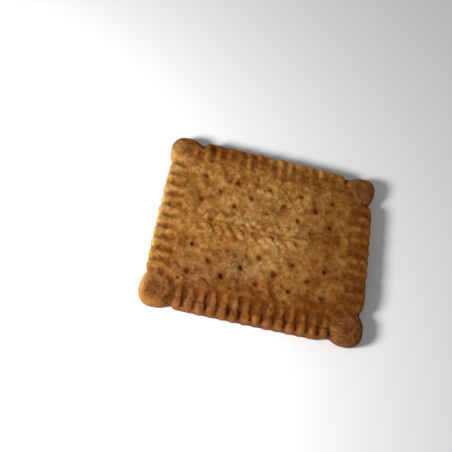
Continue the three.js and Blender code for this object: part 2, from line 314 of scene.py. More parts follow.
FLOOR_SIZE = 3
SENSOR_WIDTH = 36  # in millimetres
CLOSEST = 10 * MM  # what lies between this and the next is seen by the camera
FURTHEST = 10
LIGHT_PLACE = Vector((-157 * MM, -90 * MM, 117 * MM))
LIGHT_AIM = Vector((-4 * MM, 0, 3 * MM))
LIGHT_SIZE = 60 * MM
CAMERA_PLACE = Vector((-25.43, -72.39, 169.87)) * MM
CAMERA_AIM = Vector((-11.78, 0.07, 5.35)) * MM
CAMERA_ROLL = math.radians(22.37)


# ---- settings ----


def length_setting(name, description, default):
    return bpy.props.FloatProperty(name=name, description=description, unit="LENGTH", default=default)


def count_setting(name, description, default):
    return bpy.props.IntProperty(name=name, description=description, default=default)


def colour_setting(name, description, default):
    return bpy.props.FloatVectorProperty(
        name=name, description=description, subtype="COLOR", min=0, max=1, default=default,
    )


class BiscuitShape(bpy.types.PropertyGroup):
    """Sizes of the biscuit."""

    length: length_setting("Length", "Over the ears, along X", round(CAD_BOX[1].x - CAD_BOX[0].x, 6))
    width: length_setting("Width", "Over the ears, along Y", round(CAD_BOX[1].y - CAD_BOX[0].y, 6))
    field_height: length_setting(
        "Field height", "The plain field at its border, above the underside", 5.2 * MM,
    )
    field_dome: length_setting("Field dome", "Further rise at the middle of the field", 0.3 * MM)
    rib_height: length_setting("Rib height", "Crest of a rib above the underside", 5.2 * MM)
    long_teeth: count_setting("Long teeth", "Teeth on a long side", 14)
    long_span: length_setting("Long span", "Length that the teeth of a long side take", 45.2 * MM)
    long_inset: length_setting("Long inset", "From the ears' reach to a long side's tooth tips", 0.5 * MM)
    short_teeth: count_setting("Short teeth", "Teeth on a short side", 10)
    short_span: length_setting("Short span", "Length that the teeth of a short side take", 34.9 * MM)
    short_inset: length_setting(
        "Short inset", "From the ears' reach to a short side's tooth tips", 0.68 * MM,
    )
    ear_radius: length_setting("Ear radius", "Half the width of an ear", 5.6 * MM)
    pad_radius: length_setting("Pad radius", "Half the width of the round pad on an ear", 4.6 * MM)
    hole_pitch: length_setting("Hole pitch", "Between docking holes in a row", 9.8 * MM)
    hole_mouth: length_setting("Hole mouth", "Radius of a docking hole at the top", 0.7 * MM)
    grain_pairs: count_setting("Grain pairs", "Pairs of grains in the pressed ear of wheat", 9)
    grain_step: length_setting("Grain step", "From one pair of grains to the next", 3.1 * MM)
    voxel: length_setting("Voxel", "Fineness of the finished mesh", 0.25 * MM)


class BiscuitCrust(bpy.types.PropertyGroup):
    """Colours of the crust."""

    pale: colour_setting("Pale", "Least baked dough", (0.575, 0.346, 0.135))
    straw: colour_setting("Straw", "Lightly baked crust", (0.39, 0.201, 0.054))
    golden: colour_setting("Golden", "Well baked crust", (0.265, 0.109, 0.019))
    brown: colour_setting("Brown", "Browned crust", (0.16, 0.0445, 0.0035))
    dark: colour_setting("Dark", "Darkest crust, in holes and cracks", (0.068, 0.0145, 0.0008))
    crumbs: colour_setting("Crumbs", "Pale flecks in the dusty patches", (0.5, 0.31, 0.135))
    flour: colour_setting("Flour", "Dusty patches", (0.27, 0.145, 0.056))


class BiscuitStage(bpy.types.PropertyGroup):
    """Floor, light and camera."""

    floor: colour_setting("Floor", "Colour of the floor", (0.88, 0.88, 0.88))
    key_power: bpy.props.FloatProperty(
        name="Key", description="Power of the light from the left", unit="POWER", default=0.75,
    )
    sky: bpy.props.FloatProperty(name="Sky", description="Strength of the light all round", default=0.27)
    lens: bpy.props.FloatProperty(
        name="Lens", description="Focal length on a 36 mm wide sensor, in millimetres", default=49.38,
    )


# ---- bench tools ----


def seeded_draws(seed):
    """Draws from 0 to 1, the same ones every time."""
    multiplier = 16807
    modulus = 2147483647
    state = seed
    while True:
        state = state * multiplier % modulus
        yield state / modulus


def swing(draws):
    """The next draw, as a number from -1 to 1."""
    return 2 * next(draws) - 1


def draw_from(draws, least, more):
    """The next draw, as a number from the least to that much more."""
    return least + more * next(draws)


def put_down():
    """Leaves edit mode and deselects everything."""
    if bpy.context.object and bpy.context.object.mode != "OBJECT":
        bpy.ops.object.mode_set(mode="OBJECT")
    bpy.ops.object.select_all(action="DESELECT")


def take_up(piece):
    """Selects one piece alone and makes it the active one."""
    put_down()
    piece.select_set(True)
    bpy.context.view_layer.objects.active = piece


def pick(kind, test):
    """In edit mode, selects only the vertices, edges or faces that pass the test."""
    bpy.ops.mesh.select_mode(type=kind)
    bpy.ops.mesh.select_all(action="DESELECT")
    mesh = bmesh.from_edit_mesh(bpy.context.edit_object.data)
    for part in {"VERT": mesh.verts, "EDGE": mesh.edges, "FACE": mesh.faces}[kind]:
        if test(part):
            part.select_set(True)
    mesh.select_flush_mode()
    bmesh.update_edit_mesh(bpy.context.edit_object.data)


def near(a, b):
    return abs(a - b) < TOUCH


def level(edge, z):
    return all(near(vert.co.z, z) for vert in edge.verts)


def upright(edge):
    a, b = edge.verts
    return near(a.co.x, b.co.x) and near(a.co.y, b.co.y)


def block(name, low, high):
    """A box between two corners, left in edit mode."""
    put_down()
    low, high = Vector(low), Vector(high)
    bpy.ops.mesh.primitive_cube_add(size=1, location=(low + high) / 2, scale=high - low)
    piece = bpy.context.object
    piece.name = name
    bpy.ops.object.transform_apply(location=True, rotation=True, scale=True)
    bpy.ops.object.mode_set(mode="EDIT")
    return piece


def round_off(test, offset, segments):
    """Bevels the edges that pass the test."""
    pick("EDGE", test)
    bpy.ops.mesh.bevel(offset=offset, segments=segments, affect="EDGES", clamp_overlap=True)


def join(pieces, name):
    """Joins pieces into one object."""
    take_up(pieces[0])
    for piece in pieces:
        piece.select_set(True)
    bpy.ops.object.join()
    joined = bpy.context.object
    joined.name = name
    joined.data.name = name
    return joined


def apply_modifier(piece, kind, **settings):
    """Adds a modifier with these settings and applies it."""
    take_up(piece)
    modifier = piece.modifiers.new(kind.title(), kind)
    for key, value in settings.items():
        setattr(modifier, key, value)
    bpy.ops.object.modifier_apply(modifier=modifier.name)


def fuse(piece, voxel):
    """Makes one closed skin of overlapping pieces."""
    apply_modifier(piece, "REMESH", mode="VOXEL", voxel_size=voxel, adaptivity=0)


# ---- the dough ----


def slab(shape):
    """The flat dough under all the rest, within the notches at the ears."""
    half_x = shape.length / 2 - SLAB_INSETS[0]
    half_y = shape.width / 2 - SLAB_INSETS[1]
    piece = block("slab", (-half_x, -half_y, 0), (half_x, half_y, LOWEST_GROOVE))
    round_off(upright, SLAB_CORNER, 6)
    round_off(lambda edge: level(edge, LOWEST_GROOVE), SLAB_ROUND, 4)
    round_off(lambda edge: level(edge, 0), FOOT_ROUND, 3)
    return piece


def side_sizes(shape, name):
    """Number of teeth on a side, the length they take, and the distance from the middle to their tips."""
    if SIDES[name]["along"].x:
        return shape.long_teeth, shape.long_span, shape.width / 2 - shape.long_inset
    return shape.short_teeth, shape.short_span, shape.length / 2 - shape.short_inset


def groove_bed(shape, name):
    """The dough under the ribs of one side, out to the notches between its teeth."""
    _, span, reach = side_sizes(shape, name)
    along, out = SIDES[name]["along"], SIDES[name]["out"]
    inner_floor, outer_floor = GROOVE_FLOORS[name]
    near_end = out * (reach - RIB_LENGTH) - along * (span / 2 - BED_SHORTER)
    far_end = out * (reach - NOTCH_DEPTHS[name] + 0.5 * BOW[name]) + along * (span / 2 - BED_SHORTER)
    low = Vector(map(min, near_end, far_end))
    high = Vector(map(max, near_end, far_end))
    piece = block(f"bed_{name}", low, (high.x, high.y, inner_floor))
    at_edge = lambda vert: (vert.co - far_end).dot(out) > -TOUCH
    outer = lambda edge: all(at_edge(vert) for vert in edge.verts)
    pick("VERT", lambda vert: at_edge(vert) and near(vert.co.z, inner_floor))
    bpy.ops.transform.translate(value=(0, 0, outer_floor - inner_floor))
    round_off(lambda edge: outer(edge) and upright(edge), BED_CORNER, 6)
    round_off(lambda edge: outer(edge) and level(edge, outer_floor), BED_ROUND, 5)
    round_off(lambda edge: outer(edge) and level(edge, 0), FOOT_ROUND, 3)
    put_down()
    return piece


def field(shape):
    """The raised field inside the ribs, with its slope and cut corners."""
    half_x = shape.length / 2 - FIELD_SLOPE_START
    half_y = shape.width / 2 - FIELD_SLOPE_START
    piece = block("field", (-half_x, -half_y, FIELD_BOTTOM), (half_x, half_y, LOWEST_GROOVE))
    round_off(upright, FIELD_CORNER_CUT, 1)
    pick("FACE", lambda face: face.normal.z > FACING)
    bpy.ops.mesh.inset(thickness=FIELD_SLOPE_RUN, depth=shape.field_height - LOWEST_GROOVE)
    return piece


def rib(half_width, knob_half_width, waist, crest):
    """A rib along +Y from its rounded tip at the origin, with a knob at its outer end."""
    piece = block("rib", (-half_width, 0, 0), (half_width, RIB_LENGTH, crest))
    inner_end = lambda edge: all(near(vert.co.y, RIB_LENGTH) for vert in edge.verts)
    for place in (KNOB_LENGTH, WAIST_PLACE, 2 * WAIST_PLACE - KNOB_LENGTH):
        bpy.ops.mesh.select_all(action="SELECT")
        bpy.ops.mesh.bisect(plane_co=(0, place, 0), plane_no=(0, 1, 0))
    pick("VERT", lambda vert: vert.co.y < KNOB_LENGTH + TOUCH)
    bpy.ops.transform.resize(value=(knob_half_width / half_width, 1, 1), center_override=(0, 0, 0))
    pick("VERT", lambda vert: near(vert.co.y, WAIST_PLACE) and vert.co.z > crest / 2)
    bpy.ops.transform.translate(value=(0, 0, -waist))
    round_off(lambda edge: upright(edge) and all(near(v.co.y, 0) for v in edge.verts), TIP_ROUND, 4)
    top = crest - waist - TOUCH
    sharp = lambda edge: edge.calc_face_angle(0) > SHARP and not inner_end(edge)
    round_off(lambda edge: sharp(edge) and all(vert.co.z > top for vert in edge.verts), RIB_ROUND, 5)
    round_off(lambda edge: sharp(edge) and level(edge, 0), FOOT_ROUND, 3)
    put_down()
    return piece


def ribs(shape):
    """The toothed edge: ribs round all four sides, each tip moved a little by the oven."""
    draws = seeded_draws(SEEDS["teeth"])
    size_draws = seeded_draws(SEEDS["rib sizes"])
    laid = []
    for name, side in SIDES.items():
        teeth, span, reach = side_sizes(shape, name)
        pitch = span / teeth
        waist = WAIST_DEPTHS[name]
        half_width, knob_half_width = RIB_SHARES[name] * pitch / 2, KNOB_SHARES[name] * pitch / 2
        model = rib(half_width, knob_half_width, waist, shape.rib_height)
        for tooth in range(teeth):
            place = (tooth + 0.5) * pitch - span / 2
            share = place / (span / 2)
            uneven = swing(draws) * TOOTH_UNEVEN
            eastern = (side["along"] * place + side["out"]).x > 0
            if eastern and tooth in (0, teeth - 1):
                uneven -= END_TOOTH_SHORTER
            tip = side["along"] * place + side["out"] * (reach + BOW[name] * (1 - share**2) + uneven)
            turn = side["turn"] + math.radians(swing(size_draws))
            flatter = FLATTER_EAST * max(0, place * side["along"].x) / (shape.length / 2)
            stretch = draw_from(size_draws, *RIB_STRETCH)
            size = (1, stretch, draw_from(size_draws, *RIB_RISE) - flatter)
            laid.append(copy_of(model, tip, turn, f"rib_{name}_{tooth}", size))
        bpy.data.objects.remove(model)
    return laid


def copy_of(model, place, turn, name, size):
    """A copy with a mesh of its own, turned about Z and put in place."""
    piece = model.copy()
    piece.data = model.data.copy()
    piece.name = name
    bpy.context.collection.objects.link(piece)
    take_up(piece)
    piece.scale = size
    piece.rotation_euler = (0, 0, turn)
    piece.location = place
    bpy.ops.object.transform_apply(location=True, rotation=True, scale=True)
    return piece


def ear(shape, corner):
    """An ear: a squarish foot, and on it a round pad with a dished middle."""
    half = shape.ear_radius
    size = {key: value * MM for key, value in EARS[corner].items()}
    middle = Vector((shape.length / 2 - half, shape.width / 2 - half, 0))
    middle = Vector((middle.x * corner[0], middle.y * corner[1], 0))
    foot = block("ear_foot", middle - Vector((half, half, 0)), middle + Vector((half, half, size["seat"])))
    at_tip = lambda edge, axis: near(abs(edge.verts[0].co[axis]), (shape.length, shape.width)[axis] / 2)
    round_off(lambda edge: upright(edge) and at_tip(edge, 0) and at_tip(edge, 1), size["tip"], 6)
    at_corner = lambda edge: all(near(abs((edge.verts[0].co - middle)[axis]), half) for axis in (0, 1))
    round_off(
        lambda edge: upright(edge) and at_corner(edge) and (at_tip(edge, 0) or at_tip(edge, 1)),
        size["flank"], 8,
    )
    round_off(lambda edge: level(edge, size["seat"]), SEAT_ROUND, 4)
    round_off(lambda edge: level(edge, 0), FOOT_ROUND, 3)
    put_down()
    pad_x = (shape.length / 2 - PAD_PLACE) * corner[0]
    pad_y = (shape.width / 2 - PAD_PLACE) * corner[1]
    height = size["pad"]
    bpy.ops.mesh.primitive_cylinder_add(
        vertices=40, radius=shape.pad_radius, depth=height - PAD_BOTTOM,
        location=(pad_x, pad_y, (height + PAD_BOTTOM) / 2),
    )
    pad = bpy.context.object
    bpy.ops.object.transform_apply(location=True, rotation=True, scale=True)
    bpy.ops.object.mode_set(mode="EDIT")
    round_off(lambda edge: level(edge, height), size["shoulder"], 6)
    pick("FACE", lambda face: face.normal.z > FACING and near(face.calc_center_median().z, height))
    for width, share in DISH_RINGS:
        bpy.ops.mesh.inset(thickness=width, depth=-share * size["dish"])
    put_down()
    return [foot, pad]


def grain(name, length, width, height):
    """A lying grain: an oval with a pointed end towards +X."""
    put_down()
    bpy.ops.mesh.primitive_uv_sphere_add(segments=20, ring_count=12, radius=0.5)
    piece = bpy.context.object
    piece.name = name
    bpy.ops.object.mode_set(mode="EDIT")
    pick("VERT", lambda vert: vert.co.x > GRAIN_POINT_START)
    bpy.ops.transform.resize(value=GRAIN_POINT, center_override=(GRAIN_POINT_START, 0, 0))
    bpy.ops.mesh.select_all(action="SELECT")
    bpy.ops.transform.resize(value=(length, width, height), center_override=(0, 0, 0))
    put_down()
    return piece


def ear_of_wheat(shape):
    """The band of pressed grain: pairs of grains on a stalk, lying along the biscuit."""
    draws = seeded_draws(SEEDS["grains"])
    model = grain("grain", *GRAIN_SIZE)
    stalk = grain("stalk", *STALK_SIZE)
    laid = []

    def lay(piece_model, x, y, turn, name):
        x += BAND_CENTRE[0]
        y += BAND_CENTRE[1]
        size = draw_from(draws, *GRAIN_SPREAD)
        size = (size, size, draw_from(draws, *GRAIN_RISE))
        laid.append(copy_of(piece_model, (x, y, shape.field_height), turn, name, size))

    lay(stalk, 0, 0, 0, "stalk_laid")
    first = -(shape.grain_pairs - 1) / 2 * shape.grain_step
    for pair in range(shape.grain_pairs):
        for way in (1, -1):
            x = first + pair * shape.grain_step + swing(draws) * GRAIN_ASTRAY
            lay(model, x, way * GRAIN_OFFSET, way * GRAIN_TILT, "grain_laid")
    lay(model, first + shape.grain_pairs * shape.grain_step, 0, 0, "grain_tip")
    bpy.data.objects.remove(model)
    bpy.data.objects.remove(stalk)
    return laid


def pricked_places(shape):
    """Middle, width at the top and floor of each docking hole, none quite like the next."""
    draws = seeded_draws(SEEDS["holes"])
    places = []
    for group in (1, -1):
        for row_y, count in HOLE_ROWS:
            for i in range(count):
                row_x = (i - (count - 1) / 2) * shape.hole_pitch
                x = HOLES_CENTRE[0] + row_x + swing(draws) * HOLE_ASTRAY
                y = HOLES_CENTRE[1] + group * row_y + swing(draws) * HOLE_ASTRAY
                mouth = shape.hole_mouth * draw_from(draws, *HOLE_MOUTHS)
                places.append((x, y, mouth, draw_from(draws, *HOLE_FLOORS)))
    return places


def cutters(shape):
    """What is cut from the dough: the docking holes, and the notches beside the ears."""
    pieces = []
    top = shape.field_height + CUT_CLEARANCE
    for x, y, mouth, floor in pricked_places(shape):
        flare = (mouth - HOLE_FOOT) / (shape.field_height - floor)
        put_down()
        bpy.ops.mesh.primitive_cone_add(
            vertices=16, radius1=HOLE_FOOT, radius2=HOLE_FOOT + flare * (top - floor),
            depth=top - floor, location=(x, y, (top + floor) / 2),
        )
        pieces.append(bpy.context.object)
    for x, y in NOTCHES:
        put_down()
        bpy.ops.mesh.primitive_cylinder_add(
            vertices=16, radius=NOTCH_RADIUS, depth=3 * top, location=(x * MM, y * MM, 0)
        )
        pieces.append(bpy.context.object)
    return join(pieces, "cutters")


# ---- baking: what the oven does to the shape ----


def vertex_array(piece, what):
    values = np.empty(len(piece.data.vertices) * 3, np.float32)
    piece.data.vertices.foreach_get(what, values)
    return values.reshape(-1, 3)


def weight_group(piece, name, weights):
    """Stores one weight for each vertex, in twentieths."""
    group = piece.vertex_groups.new(name=name)
    most = 20
    steps = np.clip(np.round(weights * most), 0, most).astype(int)
    for step in range(1, most + 1):
        chosen = np.flatnonzero(steps == step).tolist()
        if chosen:
            group.add(chosen, step / most, "REPLACE")


def roughen(piece):
    """Displaces the skin by clouds of several sizes."""
    for name, (size, strength, direction, group, depth) in UNEVENNESS.items():
        clouds = bpy.data.textures.new(name, "CLOUDS")
        clouds.noise_scale = size * MM
        clouds.noise_depth = depth
        apply_modifier(
            piece, "DISPLACE", texture=clouds, texture_coords="LOCAL", direction=direction,
            strength=strength * MM, mid_level=0.5, vertex_group=group,
        )
        bpy.data.textures.remove(clouds)


def raise_dome(points, shape):
    """Lifts the middle of the top, as the field rises in the oven."""
    share_x = points[:, 0] / (shape.length / 2)
    share_y = points[:, 1] / (shape.width / 2)
    bulge = np.clip(1 - share_x**2, 0, 1) * np.clip(1 - share_y**2, 0, 1)
    points[:, 2] += shape.field_dome * bulge * risen(points)


def risen(points):
    """From 0 at the underside to 1 at the top, so that what moves the top leaves the underside flat."""
    return np.clip(points[:, 2] / FULLY_RISEN, 0, 1)


def press(points, path, width, depth):
    """Presses a furrow along a path of points, in millimetres, or a pit at a path's only point."""
    path = [np.array(point) * MM for point in path]
    nearest = np.full(len(points), np.inf)
    for start, end in zip(path, path[1:] or path):
        along = end - start
        share = ((points[:, :2] - start) @ along) / max(along @ along, 1e-12)
        foot = start + np.clip(share, 0, 1)[:, None] * along
        nearest = np.minimum(nearest, np.hypot(*(points[:, :2] - foot).T))
    points[:, 2] -= depth * MM * np.exp(-((nearest / (width * MM)) ** 2)) * risen(points)


def press_marks(points, shape):
    """The furrows, cracks and pits that this biscuit has, and the soft rims of its docking holes."""
    for path, width, depth in MARKS:
        press(points, path, width, depth)
    rim_width, rim_depth = HOLE_RIM
    for x, y, mouth, _ in pricked_places(shape):
        press(points, ((x / MM, y / MM),), rim_width * mouth / MM, rim_depth)


def bake_shape(piece, shape):
    """Fuses, softens and roughens the joined dough."""
    fuse(piece, shape.voxel)
    apply_modifier(piece, "SMOOTH", factor=0.5, iterations=SOFTENING[0])
    cut = cutters(shape)
    apply_modifier(piece, "BOOLEAN", operation="DIFFERENCE", solver="MANIFOLD", object=cut)
    bpy.data.objects.remove(cut)
    piece = join([piece, *ear_of_wheat(shape)], PIECE)
    fuse(piece, shape.voxel)
    apply_modifier(piece, "SMOOTH", factor=0.5, iterations=SOFTENING[1])
    points = vertex_array(piece, "co")
    raise_dome(points, shape)
    press_marks(points, shape)
    move_to(piece, points)
    weight_group(piece, "risen", risen(points))
    further_east = np.clip((points[:, 0] / MM - SMOOTHER_FROM) / SMOOTHER_RUN, 0, 1)
    weight_group(piece, "lumpy", risen(points) * (1 - SMOOTHER_EAST * further_east))
    roughen(piece)
    fit_to_size(piece, shape)


def move_to(piece, points):
    piece.data.vertices.foreach_set("co", points.ravel())
    piece.data.update()


def fit_to_size(piece, shape):
    """Brings the baked skin back to the biscuit's size, with its underside flat on the floor."""
    points = vertex_array(piece, "co")
    low, high = points.min(0), points.max(0)
    points[:, 0] = (points[:, 0] - (low[0] + high[0]) / 2) * shape.length / (high[0] - low[0])
    points[:, 1] = (points[:, 1] - (low[1] + high[1]) / 2) * shape.width / (high[1] - low[1])
    points[:, 2] = (points[:, 2] - low[2]) * min(1, TOP_LIMIT / (high[2] - low[2]))
    points[points[:, 2] < FLAT_BELOW, 2] = 0
    move_to(piece, points)


def store(piece, name, values):
    """Keeps one number for each vertex, for the material to read."""
    attribute = piece.data.attributes.new(name, "FLOAT", "POINT")
    attribute.data.foreach_set("value", values.astype(np.float32))


def hollows(piece, passes):
    """How far each vertex lies below its surroundings, in metres: more passes look further round."""
    points = vertex_array(piece, "co").astype(float)
    edges = np.empty(len(piece.data.edges) * 2, np.int32)
    piece.data.edges.foreach_get("vertices", edges)
    a, b = edges.reshape(-1, 2).T
    total = len(points)
    neighbours = np.bincount(a, minlength=total) + np.bincount(b, minlength=total)
    smooth = points.copy()
    for _ in range(passes):
        for axis in range(3):
            column = smooth[:, axis]
            added = np.bincount(a, column[b], total) + np.bincount(b, column[a], total)
            smooth[:, axis] = added / neighbours
    normals = vertex_array(piece, "normal")
    return ((smooth - points) * normals).sum(1)


def between_ribs(points, shape):
    """How much darker the grooves between the ribs are made, and their crests paler: partly browning, partly
    painted shade in the grooves.
    """
    tone = np.zeros(len(points))
    for name, side in SIDES.items():
        teeth, span, reach = side_sizes(shape, name)
        place = points[:, :2] @ np.array(side["along"].xy)
        inward = reach - points[:, :2] @ np.array(side["out"].xy)
        fading = np.clip((BETWEEN_RIBS_REACH - inward) / BETWEEN_RIBS_RUN, 0, 1)
        beside_ribs = (np.abs(place) < span / 2) * fading
        tone += BETWEEN_RIBS[name] * beside_ribs * (np.cos(math.pi * place * teeth / span) ** 2 - 0.5)
    return tone


def pricked_tone(piece, shape):
    """How much darker the dough is in and round its docking holes: partly browning, partly painted shade."""
    x, y, _ = vertex_array(piece, "co").T
    tone = np.zeros(len(x))
    for hole_x, hole_y, mouth, _ in pricked_places(shape):
        away = np.hypot(x - hole_x, y - hole_y) / mouth
        darker = sum(most * np.exp(-((away / reach) ** 2)) for most, reach in HOLE_SHADE_AND_BROWNING)
        tone = np.maximum(tone, darker)
    return tone


def dusting(piece, shape):
    """How much pale dust lies on each place; none is left in the docking holes."""
    x, y, _ = vertex_array(piece, "co").T
    dust = np.zeros(len(x))
    for (middle_x, middle_y), (half_x, half_y), amount in DUSTY:
        away = np.hypot((x / MM - middle_x) / half_x, (y / MM - middle_y) / half_y)
        dust = np.maximum(dust, amount * np.clip(DUST_EDGE * (1 - away), 0, 1))
    return np.clip(dust - DUST_OFF_HOLES * pricked_tone(piece, shape), 0, 1)


def browning_and_painted_light(piece, shape):
    """How much darker each place is made than the middle, from its distance to the edges, its patch, the
    ribs and
    the holes: browning, with painted highlight and painted shade in it.
    """
    points = vertex_array(piece, "co")
    x, y, _ = points.T
    distance = {
        "east": shape.length / 2 - x,
        "north": shape.width / 2 - y,
        "south": shape.width / 2 + y,
    }
    tone = np.zeros(len(x))
    for side, (most, reach) in EDGE_BROWNING.items():
        share = np.clip(1 - distance[side] / reach, 0, 1)
        tone += (most * share * share * (3 - 2 * share)) ** 2
    tone = np.sqrt(tone)
    for (middle_x, middle_y), (half_x, half_y), amount in TONES:
        away = ((x / MM - middle_x) / half_x) ** 2 + ((y / MM - middle_y) / half_y) ** 2
        tone += amount * np.exp(-1.5 * away)
    return tone + between_ribs(points, shape) + pricked_tone(piece, shape)


# ---- materials ----


def socket(tree, name, kind, in_out, default=None):
    made = tree.interface.new_socket(name=name, socket_type=kind, in_out=in_out)
    if default is not None:
        made.default_value = default


def feed(tree, target, **inputs):
    """Sets inputs of a node, named with _ for spaces or by number, to values or other nodes' outputs."""
    for key, value in inputs.items():
        entry = target.inputs[int(key[1:]) if key[1:].isdigit() else key.replace("_", " ")]
        if isinstance(value, bpy.types.NodeSocket):
            tree.links.new(value, entry)
        else:
            entry.default_value = value


def node(tree, kind, settings=None, **inputs):
    """Adds a node with these settings and inputs."""
    made = tree.nodes.new(kind)
    for key, value in (settings or {}).items():
        setattr(made, key, value)
    feed(tree, made, **inputs)
    return made


def noise(tree, vector, size, detail=2.0, roughness=0.5, distortion=0.0):
    """Noise whose lumps have about this size."""
    made = node(
        tree, "ShaderNodeTexNoise", Vector=vector, Scale=1 / size, Detail=detail,
        Roughness=roughness, Distortion=distortion,
    )
    return made.outputs["Fac"]


def math_node(tree, operation, first, second=0.0, clamp=False):
    made = node(tree, "ShaderNodeMath", {"operation": operation, "use_clamp": clamp}, _0=first, _1=second)
    return made.outputs[0]


def total(tree, first, *others):
    for value in others:
        first = math_node(tree, "ADD", first, value)
    return first


def spread(tree, value, low, high, to_low=0.0, to_high=1.0):
    """Maps a range of values to another, clamped."""
    made = node(
        tree, "ShaderNodeMapRange", {"clamp": True}, Value=value, From_Min=low, From_Max=high,
        To_Min=to_low, To_Max=to_high,
    )
    return made.outputs["Result"]


def mix_colour(tree, factor, first, second):
    made = node(tree, "ShaderNodeMix", {"data_type": "RGBA"}, _0=factor, _6=first, _7=second)
    return made.outputs[2]


def rgba(colour):
    return (*colour, 1.0)


def oven_colour_group(crust):
    """Node group: the crust's colour from how dark it is made, with mottling at three scales. On the top and
    sides that darkness holds painted shade and painted highlight as well as browning.
    """
    tree = bpy.data.node_groups.new("Oven colour", "ShaderNodeTree")
    socket(tree, "Vector", "NodeSocketVector", "INPUT")
    socket(tree, "Bake", "NodeSocketFloat", "INPUT", 0.4)
    socket(tree, "Mottling", "NodeSocketFloat", "INPUT", 1.0)
    socket(tree, "Color", "NodeSocketColor", "OUTPUT")
    inputs = tree.nodes.new("NodeGroupInput")
    vector = inputs.outputs["Vector"]
    patches = spread(tree, noise(tree, vector, 6 * MM, 1, 0.5), 0.25, 0.75, -0.14, 0.14)
    blotches = spread(tree, noise(tree, vector, 2 * MM, 2, 0.55, 0.8), 0.25, 0.75, -0.17, 0.17)
    specks = spread(tree, noise(tree, vector, 0.8 * MM, 1, 0.5), 0.3, 0.7, -0.04, 0.04)
    veins = math_node(tree, "SUBTRACT", noise(tree, vector, 3 * MM, 3, 0.6, 1.2), 0.5)
    veins = spread(tree, math_node(tree, "ABSOLUTE", veins), 0.0, 0.05, -0.09, 0.02)
    mottling = total(tree, patches, blotches, specks, veins)
    mottling = math_node(tree, "MULTIPLY", mottling, inputs.outputs["Mottling"])
    darkness = math_node(tree, "ADD", inputs.outputs["Bake"], mottling, clamp=True)
    ramp = node(tree, "ShaderNodeValToRGB", Fac=darkness)
    stops = ramp.color_ramp.elements
    stops[0].position, stops[0].color = 0.0, rgba(crust.pale)
    stops[1].position, stops[1].color = 1.0, rgba(crust.dark)
    for place, colour in ((0.25, crust.straw), (0.47, crust.golden), (0.7, crust.brown)):
        stops.new(place).color = rgba(colour)
    node(tree, "NodeGroupOutput", Color=ramp.outputs["Color"])
    return tree


def crumb_group():
    """Node group: the height of the fine crumb, from 0 to 1."""
    tree = bpy.data.node_groups.new("Crumb", "ShaderNodeTree")
    socket(tree, "Vector", "NodeSocketVector", "INPUT")
    socket(tree, "Size", "NodeSocketFloat", "INPUT", 1.0)
    socket(tree, "Height", "NodeSocketFloat", "OUTPUT")
    inputs = tree.nodes.new("NodeGroupInput")
    vector = node(
        tree, "ShaderNodeVectorMath", {"operation": "SCALE"}, Vector=inputs.outputs["Vector"],
        Scale=inputs.outputs["Size"],
    ).outputs[0]
    grains = noise(tree, vector, 0.5 * MM, 3, 0.65)
    cells = node(
        tree, "ShaderNodeTexVoronoi", {"feature": "SMOOTH_F1"}, Vector=vector, Scale=1 / (0.55 * MM),
        Smoothness=0.6,
    ).outputs["Distance"]
    height = math_node(tree, "ADD", grains, math_node(tree, "MULTIPLY", cells, 0.5))
    node(tree, "NodeGroupOutput", Height=height)
    return tree


def new_material(name):
    material = bpy.data.materials.new(name)
    material.use_nodes = True
    tree = material.node_tree
    shader = tree.nodes["Principled BSDF"]
    return material, tree, shader


def group_node(tree, group, **inputs):
    made = node(tree, "ShaderNodeGroup", {"node_tree": group}, **inputs)
    return made.outputs[0]


def bumps(tree, height, strength, distance):
    made = node(tree, "ShaderNodeBump", Strength=strength, Distance=distance, Height=height)
    return made.outputs["Normal"]


def attribute(tree, name):
    made = node(tree, "ShaderNodeAttribute", {"attribute_name": name})
    return made.outputs["Fac"]


def crust_material(crust, colour_group, height_group):
    """The baked top and sides."""
    material, tree, shader = new_material("baked crust")
    vector = node(tree, "ShaderNodeTexCoord").outputs["Object"]
    # How dark the crust is made: browning, with painted shade in hollows, between the ribs and in the
    # docking holes, and painted highlight on crests and on the lit western rims.
    darkness = [attribute(tree, "tone")]
    for name, (_, (low, high), browning) in SHADED_HOLLOWS.items():
        darkness.append(spread(tree, attribute(tree, name), low * MM, high * MM, *browning))
    darkness = total(tree, *darkness, MIDDLE_BAKE)
    evenness = spread(tree, attribute(tree, "tone"), 0.0, 0.3, 1.0, 0.5)
    colour = group_node(tree, colour_group, Vector=vector, Bake=darkness, Mottling=evenness)
    dusty = spread(tree, attribute(tree, "hollow"), 0.0, 0.15 * MM, 1.0, 0.2)
    dusty = math_node(tree, "MULTIPLY", dusty, attribute(tree, "dust"))
    dust = spread(tree, noise(tree, vector, 0.9 * MM, 4, 0.65), 0.41, 0.61)
    dust = math_node(tree, "MULTIPLY", dusty, dust)
    colour = mix_colour(tree, dust, colour, rgba(crust.flour))
    flecks = spread(tree, noise(tree, vector, 0.7 * MM, 2, 0.6), 0.56, 0.74)
    flecks = math_node(tree, "MULTIPLY", dusty, flecks)
    colour = mix_colour(tree, flecks, colour, rgba(crust.crumbs))
    height = group_node(tree, height_group, Vector=vector, Size=1.0)
    feed(
        tree, shader, Base_Color=colour, Normal=bumps(tree, height, 1.0, 0.042 * MM),
        Roughness=spread(tree, noise(tree, vector, 1.5 * MM), 0.3, 0.7, 0.55, 0.75),
        Specular_IOR_Level=0.1, Subsurface_Weight=0.5, Subsurface_Radius=(1.0, 0.35, 0.12),
        Subsurface_Scale=0.6 * MM,
    )
    return material


